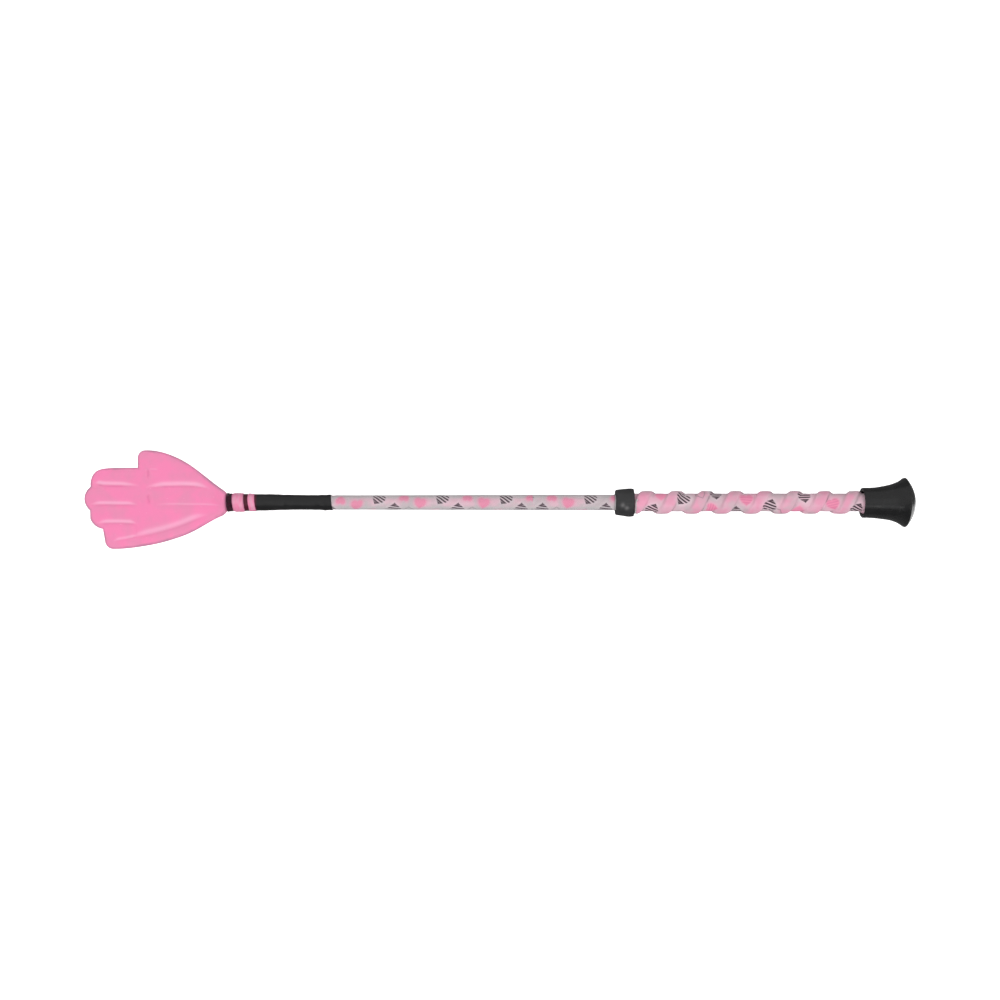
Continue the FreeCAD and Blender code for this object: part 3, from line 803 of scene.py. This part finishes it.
def moulded(points, lines):
    """Depth of the moulded lines at each point, and how much of it lies on their lit upper flank, where a painted
    highlight goes.
    """
    at = np.stack([HINGE_X - points[:, 0], points[:, 1]], axis=1)
    depth, flank = np.zeros(len(points)), np.zeros(len(points))
    for line, deep, above, below in lines:
        offset, along = line_offset(at, curved(line))
        faded = soft_step(along, -0.1, 0.25) * (1 - soft_step(along, 0.75, 1.1))
        width = np.where(offset > 0, 0.3 * above + 0.7 * above * faded, below)
        depth += deep * faded * np.exp(-((offset / width) ** 2))
        lit = (offset > 0) * (above > 1)
        flank += deep * faded * np.exp(-(((offset - 0.6 * width) / (0.45 * width)) ** 2)) * lit
    return depth, flank


def swelling(points):
    """Broad pads of the palm and fingers, in millimetres above the flat."""
    ahead, across = HINGE_X - points[:, 0], points[:, 1]
    heel = 0.3 * np.exp(-(((ahead - 46) / 20) ** 2) - ((across + 15) / 6.5) ** 2)
    thumb = 0.25 * np.exp(-(((ahead - 42) / 17) ** 2) - ((across - 25) / 7) ** 2)
    dish = -0.2 * np.exp(-(((ahead - 44) / 16) ** 2) - ((across - 3) / 7) ** 2)
    return heel + thumb + dish


def hand_half(name, side, lines, material):
    """One moulded half of the hand. side is 1 for the palm and -1 for the back."""
    loop = hand_outline()
    flat, faces, order = flat_mesh(loop)
    rim_distance = distance_to(flat, loop, closed=True)
    neck_side = flat[:, 0] > NECK_X - 0.3
    share = np.clip(rim_distance / RIM_ROUND, 0, 1)
    ahead = HINGE_X - flat[:, 0]
    swell = NECK_SWELL * (1 - soft_step(ahead, -1.0, NECK_SWELL_LENGTH)) * (1 - (flat[:, 1] / 9.5) ** 2).clip(0, 1)
    groove, flank = moulded(flat, lines)
    lift = swelling(flat) if side > 0 else 0.5 * swelling(flat)
    round_rim = np.sqrt(1 - (1 - share) ** 2)
    height = RIM_WALL + (HAND_TOP - RIM_WALL) * round_rim + (lift + swell - groove) * round_rim
    height[neck_side & (rim_distance < 1e-3)] = RIM_WALL
    centre_in = loop + SEAM * (loop.mean(0) - loop) / np.linalg.norm(loop.mean(0) - loop, axis=1)[:, None]
    count, size = len(flat), len(loop)
    top = np.column_stack([flat, side * height])
    wall = np.column_stack([loop, np.full(size, side * SEAM)])
    seam = np.column_stack([centre_in, np.zeros(size)])
    points = np.concatenate([top, wall, seam])
    sides = []
    for i in range(size):
        j = (i + 1) % size
        sides.append((order[i], order[j], count + j, count + i))
        sides.append((count + i, count + j, count + size + j, count + size + i))
    made = geometry.delaunay_2d_cdt([Vector(p) for p in centre_in], [(i, (i + 1) % size) for i in range(size)], [], 1, 1e-5)
    floor = [tuple(count + size + i for i in face) for face in made[2]]
    piece = new_piece(name, points, [*faces, *sides, *floor], material)
    padding = np.zeros(2 * size)
    # groove also sets the painted shade in the moulded lines
    point_values(piece, "groove", np.concatenate([np.clip(groove / 0.8, 0, 1) ** 3, padding]))
    # where the painted highlight on the lines' upper flanks goes
    point_values(piece, "painted_flank_highlight", np.concatenate([np.clip(flank * share, 0, 1), padding]))
    # rim sets where the painted shade greys the edges
    point_values(piece, "rim", np.concatenate([1 - soft_step(rim_distance, 0.4, 2.3), padding + 1]))
    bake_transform(piece)
    return piece


vinyl = moulded_vinyl()
palm_half = hand_half("hand_palm_half", 1, FINGER_LINES + PALM_LINES, vinyl)
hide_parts("hand_front")
back_half = hand_half("hand_back_half", -1, FINGER_LINES + BACK_LINES, vinyl)
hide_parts("hand_back")


def tongue_strip(material):
    """The spring strip as a rounded bar mesh in many short lengths."""
    low, high = box_mm("tongue")
    stations = np.linspace(low[0], high[0], 80)
    section = []
    for corner, (y, z) in enumerate(((1, 1), (-1, 1), (-1, -1), (1, -1))):
        for angle in np.radians(np.linspace(0, 90, 4) + 90 * corner):
            cy, cz = y * (high[1] - 0.3), z * (high[2] - 0.3)
            section.append((cy + 0.3 * math.cos(angle), cz + 0.3 * math.sin(angle)))
    points = [(x, y, z) for x in stations for y, z in section]
    faces = grid_faces(len(stations), len(section))
    faces.append(tuple(range(len(section))))
    faces.append(tuple(len(points) - len(section) + i for i in range(len(section))))
    piece = new_piece("tongue_strip", points, faces, material)
    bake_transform(piece)
    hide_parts("tongue")
    return piece


glass_fibre = grained("glass_fibre", linear(224, 220, 204), linear(204, 198, 176), 0.4, 0.4, 0.02, (0.05, 1, 1))
tongue_strip(glass_fibre)

# ---------------------------------------------------------------- neck


def wound_whipping(material):
    """One plied thread wound tightly round the neck, its ends tucked under."""
    low, high = box_mm("neck_whipping")
    thread = 0.34
    turns = (high[0] - low[0] - 2 * thread) / (2 * thread)
    steps = int(turns * 110)
    at = np.linspace(0, 1, steps)
    turn = 2 * math.pi * turns * at
    front_radius, back_radius = high[1] + 0.35 - thread, high[1] - 0.05 - thread
    tuck = 0.5 * (soft_step(at, 0.0, 0.02) * soft_step(1 - at, 0.0, 0.02) - 1)
    radius = front_radius + (back_radius - front_radius) * soft_step(at, 0.0, 0.5) + tuck
    x = low[0] + thread + (high[0] - low[0] - 2 * thread) * at
    sides = around(12)
    ply = 1 + 0.13 * np.cos(2 * (sides[None, :] - 9.0 * turn[:, None]))
    out = thread * ply * np.cos(sides)
    along = thread * ply * np.sin(sides)
    points = ring_points(x[:, None] + along, radius[:, None] + out, turn[:, None])
    faces = grid_faces(steps, len(sides))
    faces.append(tuple(range(len(sides))))
    faces.append(tuple((steps - 1) * len(sides) + i for i in range(len(sides))))
    piece = new_piece("whipping_thread", points.reshape(-1, 3), faces, material)
    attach(piece, CROP)
    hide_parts("neck_whipping")


SLEEVE_SLANT = 0.1  # how far the sleeve's end leans back for each millimetre away from the thumb side


def slanted(piece, slope, from_x=None):
    """Leans a ring, or only what lies beyond from_x, so that it sits slightly askew on the shaft."""
    for vertex in piece.data.vertices:
        share = 1.0 if from_x is None else min(1.0, max(0.0, (vertex.co.x / MM - from_x) / 6.0))
        vertex.co.x -= slope * share * vertex.co.y


def soft_band(name, node, seed, lean, material):
    """A vinyl band: crowned, leaning, with rounded edges and shallow dents."""
    low, high = box_mm(node)
    wobble = waves(seed, 9, 14.0, 2.5)
    length = high[0] - low[0]
    crown = high[1]
    x = low[0] + length * (0.5 - 0.5 * np.cos(np.linspace(0, math.pi, 30)))
    place = np.abs(2 * (x - low[0]) / length - 1)
    radius = crown - 0.22 * place**2 - 0.5 * np.clip(1 - np.sqrt(np.clip(1 - place**8, 0, 1)), 0, 1)

    def shape(at, angle):
        return 0.09 * wobble(at, angle) - 0.05

    piece = turned_shell(name, np.stack([x, radius], 1), 0.3, material, 144, shape)
    at = np.array([v.co.x for v in piece.data.vertices]) / MM
    point_values(piece, "rim", soft_step(np.abs(2 * (at - low[0]) / length - 1), 0.72, 1.0))
    slanted(piece, lean)
    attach(piece, CROP)
    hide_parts(node)


def shrunk_sleeve(material):
    """The black shrink sleeve: it follows ferrule, bare tube and film in one soft curve, with a few wrinkles."""
    low, high = box_mm("tip_sleeve")
    wide, waist, tail = high[1], 5.45, 5.78
    stations = smooth_stations(
        [(low[0], wide), (-269.5, wide - 0.03), (-262.0, 6.12), (-251.0, 5.97), (-240.0, 5.6), (-226.0, waist),
         (-217.0, waist + 0.02), (-211.5, tail), (high[0] - 0.5, tail + 0.04)],
        0.5,
    )
    end = quarter_round(high[0] - 0.4, stations[-1][1] - 0.3, 0.4, 0.3, 90.0)
    wobble = waves(11, 8, 30.0, 6.0)

    def shape(at, angle):
        slack = 0.05 + 0.1 * bump(at, -240.5, 4.0) + 0.14 * bump(at, -212.0, 3.0)
        return slack * wobble(at, angle) + 0.16 * np.sin(angle) * bump(at, -242.0, 14.0)

    piece = turned_shell("black_sleeve", [*stations, *end], 0.5, material, 128, shape)
    slanted(piece, SLEEVE_SLANT, -214.0)
    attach(piece, CROP)
    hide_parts("tip_sleeve")


wound_whipping(wound_thread())
band_material = band_vinyl()
soft_band("pink_band_wide", "wide_band", 3, 0.09, band_material)
soft_band("pink_band_narrow", "narrow_band", 5, 0.1, band_material)
shrunk_sleeve(black_plastic("shrink_sleeve_black", 24, 0.42, stain_x=-262.4))

# ---------------------------------------------------------------- shaft films


def film_skin(name, node, inset, material):
    """A film drawn over the shaft, slightly wavy, with gathered wrinkles where it leaves the sleeve."""
    low, high = box_mm(node)
    front, back = FILM_RADII
    x = np.concatenate([np.linspace(low[0], -190.0, 90), np.linspace(-190.0, high[0], 260)[1:]])
    radius = front + (back - front) * (x - low[0]) / (high[0] - low[0]) - inset
    radius = radius - 0.12 * (1 - soft_step(x, -208.0, -200.0))
    wobble = waves(21, 8, 60.0, 12.0)
    gather = waves(23, 10, 9.0, 2.0)

    def shape(at, angle):
        near_sleeve = bump(at, -203.0, 4.0)
        return 0.025 * wobble(at, angle) + 0.06 * near_sleeve * (1 + gather(at, angle))

    piece = turned_shell(name, np.stack([x, radius], 1), 0.08, material, 96, shape)
    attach(piece, CROP)
    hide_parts(node)


FILM_RADII = (5.32, 5.78)  # of the outer film's skin, at the slapper's end and at the collar
shaft_print = printed_film(
    "printed_film_shaft", 5.5, SHAFT_MOTIFS, SHAFT_REPEAT_MM, SHAFT_ROW_START_X, SHAFT_ROW_SLIP, SHAFT_TWIST
)
film_skin("clear_film_skin", "shaft_clear_film", 0.0, clear_shrink_film())
film_skin("shaft_printed_skin", "shaft_print_film", 0.1, shaft_print)

# ---------------------------------------------------------------- grip

CORD_PITCH = 21.68
CORD_TOP_X = 23.8
CORD_FLAT = 3.4  # half width of the cord's flat top
CORD_FOOT = 6.0  # half width where the film leaves the tube
BARREL_RADIUS = 6.61
CREASES = ((66.3, 0.5), (153.4, 0.45), (98.0, 3.4), (40.0, 2.4))  # x and angle of the film's sharp creases


def grip_skin(material):
    """The printed film drawn over tube and cord: soft shoulders, creases along the cord and faint ripples."""
    low, high = box_mm("grip_film")
    height = high[1] - BARREL_RADIUS
    segments = 144
    angles = around(segments)
    x = np.arange(low[0], high[0], 0.42)
    grid_x = np.repeat(x[:, None], segments, axis=1)
    centre = CORD_TOP_X + CORD_PITCH * (angles[None, :] - math.pi / 2) / (2 * math.pi)
    offset = (grid_x - centre + CORD_PITCH / 2) % CORD_PITCH - CORD_PITCH / 2
    raised = 1 - soft_step(np.abs(offset), CORD_FLAT, CORD_FOOT)
    raised = raised * soft_step(grid_x, 14.2, 15.8)
    crease = 0.0
    for place, angle in CREASES:
        near = bump(grid_x, place, 4.0) * bump(angles[None, :], angle, 0.5)
        crease = crease + near * np.exp(-(((offset - CORD_FOOT + 1.2) / 0.5) ** 2))
    crease = crease + bump(grid_x, 15.6, 1.1) * bump(angles[None, :], 0.22, 0.14)
    ripple = waves(33, 10, 20.0, 5.0)(grid_x, angles[None, :])
    crown = 0.12 * (1 - (offset / CORD_FLAT) ** 2).clip(0, 1)
    radius = BARREL_RADIUS + (height - 0.1) * raised + crown * raised - 0.35 * crease + 0.05 * ripple
    outer = ring_points(grid_x, radius, angles)
    inner = ring_points(grid_x[::-1], radius[::-1] - 0.2, angles)
    points = np.concatenate([outer, inner])
    piece = new_piece("grip_printed_skin", points.reshape(-1, 3), grid_faces(len(points), segments, True), material)
    soft = 1 - soft_step(np.abs(offset), 1.0, CORD_FOOT + 1.5)
    point_values(piece, "raised", np.concatenate([soft, soft[::-1]]).ravel())
    # crease also sets the painted shade in the creases
    point_values(piece, "crease", np.concatenate([crease, crease[::-1]]).ravel())
    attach(piece, CROP)
    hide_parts("grip_film")


grip_skin(printed_film("printed_film_grip", 7.2, GRIP_MOTIFS, raised=True))

# ---------------------------------------------------------------- collar and butt cap


def rubber_collar(material):
    """The rubber collar: a slightly swollen ring with rounded edges and a hand-cut waviness."""
    low, high = box_mm("collar")
    bore = 5.9
    top = high[1]
    front_x = low[0] + 0.5
    outside = smooth_stations(
        [(front_x + 0.8, top - 1.2), (2.2, top - 1.0), (5.0, top - 0.62), (8.0, top - 0.2), (11.0, top - 0.02),
         (high[0] - 0.8, top - 0.25)],
        0.25,
    )
    front = quarter_round(front_x + 0.8, outside[0][1] - 0.8, 0.8, 0.8, 180.0)
    back = quarter_round(high[0] - 0.8, outside[-1][1] - 0.8, 0.8, 0.8, 90.0)
    seat_x = 10.2
    hole = [(high[0] - 0.15, 7.1), (high[0] - 0.9, 6.75), (seat_x, 6.75), (seat_x - 0.1, bore), (front_x + 0.3, bore)]
    wobble = waves(41, 6, 25.0, 7.0)

    def dent(at, angle, x, turn):
        return bump(at, x, 1.4) * bump(np.where(angle > math.pi, angle - 2 * math.pi, angle), turn, 0.15)

    def knobs(at, angle):
        return dent(at, angle, 5.2, -0.2) + dent(at, angle, 8.2, -0.42)

    def shape(at, angle):
        hollow = 0.45 * dent(at, angle, 6.9, -0.16) + 0.35 * dent(at, angle, 9.6, -0.18)
        lean = 0.12 * np.sin(angle - 2.6) * bump(at, 10.0, 3.5)
        return 0.07 * wobble(at, angle) + lean + 0.26 * knobs(at, angle) - hollow

    section = [*front, *outside, *back, *hole, (front_x, bore + 0.4)]
    piece = turned_solid("rubber_collar", section, material, 200, shape)
    at, angle = np.array(section)[:, :1], around(200)[None, :]
    # painted highlight on the outer faces of the knobs
    point_values(piece, "knob_highlight_share", (0.65 * knobs(at, angle) * (np.array(section)[:, 1:] > 8)).ravel())
    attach(piece, CROP)
    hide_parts("collar")


def mushroom_cap(material):
    """The butt cap: a lipped socket, a long flare, a rounded rim and a shallow dome round the nail."""
    low, high = box_mm("butt_cap")
    rim = high[1]
    mouth, lip = 11.0, 0.6
    rim_x, rim_round = 212.4, 1.25
    apex = 219.7
    rise = apex - rim_x
    sphere = (rim**2 + rise**2) / (2 * rise)

    def dome(radius):
        return apex - sphere + math.sqrt(sphere**2 - radius**2)

    flare = smooth_stations(
        [(low[0] + lip, mouth), (188.0, mouth + 0.2), (194.4, mouth + 0.88), (201.7, 13.15), (207.6, 15.35),
         (rim_x - 1.0, rim - 0.5)],
        0.5,
    )
    lip_round = [(low[0] + lip - lip * math.cos(a), mouth - lip + lip * math.sin(a)) for a in np.linspace(0, math.pi / 2, 7)]
    shoulder = rim - rim_round
    rim_curve = []
    for t in np.linspace(0, 1, 9)[1:]:
        start, pull, end = np.array(flare[-1]), np.array((rim_x + 0.25, rim + 0.7)), np.array((dome(shoulder), shoulder))
        rim_curve.append(tuple((1 - t) ** 2 * start + 2 * t * (1 - t) * pull + t**2 * end))
    dome_curve = [(dome(r), r) for r in np.linspace(shoulder, 3.7, 24)[1:]]
    recess = [(apex - 0.25, 3.45), (apex - 0.85, 3.42), (apex - 0.88, 1.0), (196.1, 0.95), (196.1, 8.6)]
    mouth_inside = [(low[0] + 0.9, 8.65), (low[0] + 0.3, 8.9)]
    wobble = waves(51, 6, 40.0, 14.0)

    def shape(at, angle):
        ring = 0.07 * bump(at, 184.6, 0.35)
        askew = -0.25 * np.sin(angle) * (1 - soft_step(at, 190.0, 206.0))
        return 0.03 * wobble(at, angle) * soft_step(at, 181.5, 184.0) - ring + askew

    stations = [*lip_round, *flare[1:], *rim_curve, *dome_curve, *recess, *mouth_inside]
    piece = turned_solid("mushroom_cap", stations, material, 176, shape)
    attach(piece, CROP)
    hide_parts("butt_cap")


rubber_collar(black_plastic("collar_rubber", 46, 0.5, painted_knob_highlight=True))
mushroom_cap(black_plastic("cap_rubber", 24, 0.28))

# ---------------------------------------------------------------- CAD pieces that stay

white_plastic = grained("white_tube_plastic", linear(222, 216, 217), linear(208, 201, 203), 0.42, 0.5, 0.02, (0.1, 1, 1))
dark_plastic = grained("ferrule_plastic", linear(44, 42, 44), linear(34, 32, 34), 0.5, 0.4, 0.02)
foam = grained("grip_foam", linear(214, 205, 206), linear(190, 180, 182), 0.75, 0.35, 0.08)
felt = grained("pressed_felt", linear(196, 188, 184), linear(170, 160, 158), 0.9, 0.3, 0.12, sheen=0.4)
KEPT_NODES = {
    "core_rod": glass_fibre,
    "shaft_tube": white_plastic,
    "tip_ferrule": dark_plastic,
    "hand_core": felt,
    "grip_tube": foam,
    "grip_cord": foam,
    "butt_plug": turned_wood(),
    "cap_nail": turned_steel(),
}
for node, material in KEPT_NODES.items():
    mesh = frame["nodes"][node].data
    mesh.materials.clear()
    mesh.materials.append(material)

# ---------------------------------------------------------------- stage, light and camera

FLOOR_SIZE = 8.0
FLOOR_GLOW = 0.75
FLOOR_GAP = 3.0
LARGEST_FLEX = math.radians(max(frame["joints"][0]["range_deg"]))
VIEW_CENTRE = (-83.9 * MM, 1.8 * MM)
VIEW_HEIGHT = 1.05
LENS_MM = 51.6
SENSOR_MM = 36.0


def pale_floor():
    """A pale floor just below the fingertips of the hand when it is flexed down as far as it goes.

    The camera sees it glow, and glossy skins reflect it dimly.
    """
    reach = HINGE_X - box_mm("hand_back")[0][0]
    level = reach * math.sin(LARGEST_FLEX) + HAND_TOP + FLOOR_GAP
    bpy.ops.mesh.primitive_plane_add(size=FLOOR_SIZE)
    floor = bpy.context.object
    floor.name = "floor"
    floor.location = (0, 0, -level * MM)

    def build(graph, shader):
        cloud = graph.noise(400.0, graph.place(), 2)
        paper = graph.mix(cloud, (0.83, 0.83, 0.83, 1), (0.8, 0.8, 0.8, 1))
        ray = graph.add("ShaderNodeLightPath").outputs
        mirrored = graph.calc("MULTIPLY", ray["Is Glossy Ray"], 0.8)
        graph.put(shader.inputs["Base Color"], graph.mix(mirrored, paper, (0.02, 0.02, 0.02, 1)))
        shader.inputs["Roughness"].default_value = 0.9
        shader.inputs["Emission Color"].default_value = (1, 1, 1, 1)
        graph.put(shader.inputs["Emission Strength"], graph.calc("MULTIPLY", ray["Is Camera Ray"], FLOOR_GLOW))

    floor.data.materials.append(surface("pale_floor", build))


def soft_light(name, place, aim, size, power, mirrored=False):
    """A rectangular area light that looks at a point. mirrored says whether glossy skins reflect it."""
    data = bpy.data.lights.new(name, "AREA")
    data.shape = "RECTANGLE"
    data.size, data.size_y = size
    data.energy = power
    light = bpy.data.objects.new(name, data)
    light.location = place
    light.rotation_euler = (Vector(aim) - Vector(place)).to_track_quat("-Z", "Y").to_euler()
    light.visible_glossy = mirrored
    light.visible_camera = False
    bpy.context.scene.collection.objects.link(light)


def white_room(dim, bright, overhead):
    """White background for the camera; for the rest a room that is brighter on the thumb side and overhead."""
    world = bpy.data.worlds.new("white_room")
    bpy.context.scene.world = world
    world.use_nodes = True
    world.node_tree.nodes.clear()
    graph = Graph(world.node_tree)
    split = graph.add("ShaderNodeSeparateXYZ")
    graph.put(split.inputs[0], graph.add("ShaderNodeTexCoord").outputs["Generated"])
    side = graph.ramp(split.outputs["Y"], -0.5, 0.1, dim, bright)
    above = graph.ramp(split.outputs["Z"], 0.8, 1.0, 0.0, overhead)
    light = graph.add("ShaderNodeBackground")
    light.inputs["Color"].default_value = (1, 1, 1, 1)
    graph.put(light.inputs["Strength"], graph.calc("ADD", side, above))
    seen = graph.add("ShaderNodeBackground")
    seen.inputs["Color"].default_value = (1, 1, 1, 1)
    chooser = graph.add("ShaderNodeMixShader")
    graph.put(chooser.inputs[0], graph.add("ShaderNodeLightPath").outputs["Is Camera Ray"])
    graph.put(chooser.inputs[1], light.outputs[0])
    graph.put(chooser.inputs[2], seen.outputs[0])
    graph.put(graph.add("ShaderNodeOutputWorld").inputs[0], chooser.outputs[0])


def overhead_camera():
    """A camera straight above the flat-laid crop, with the thumb side up in the picture."""
    data = bpy.data.cameras.new("overhead")
    data.lens, data.sensor_width = LENS_MM, SENSOR_MM
    camera = bpy.data.objects.new("overhead", data)
    camera.location = (*VIEW_CENTRE, VIEW_HEIGHT)
    bpy.context.scene.collection.objects.link(camera)
    bpy.context.scene.camera = camera


pale_floor()
white_room(0.12, 0.55, 0.25)
middle = (*VIEW_CENTRE, 0)
soft_light("key", (-0.1, -0.72, 0.95), middle, (1.3, 0.6), 8.4)
soft_light("fill", (-0.1, 0.85, 0.8), middle, (1.2, 0.6), 1.8)
soft_light("head_side", (-1.0, 0.1, 0.7), middle, (0.5, 0.8), 0.8)
soft_light("cap_side", (0.95, -0.1, 0.5), middle, (0.5, 0.8), 1.4)
soft_light("sheen", (-0.05, -0.52, 0.97), middle, (1.3, 0.25), 1.2, mirrored=True)
soft_light("dome_glint", (0.252, -0.036, -0.028), (0.215, -0.012, 0.008), (0.07, 0.07), 0.024, mirrored=True)
overhead_camera()
bpy.context.scene.view_settings.view_transform = "Standard"
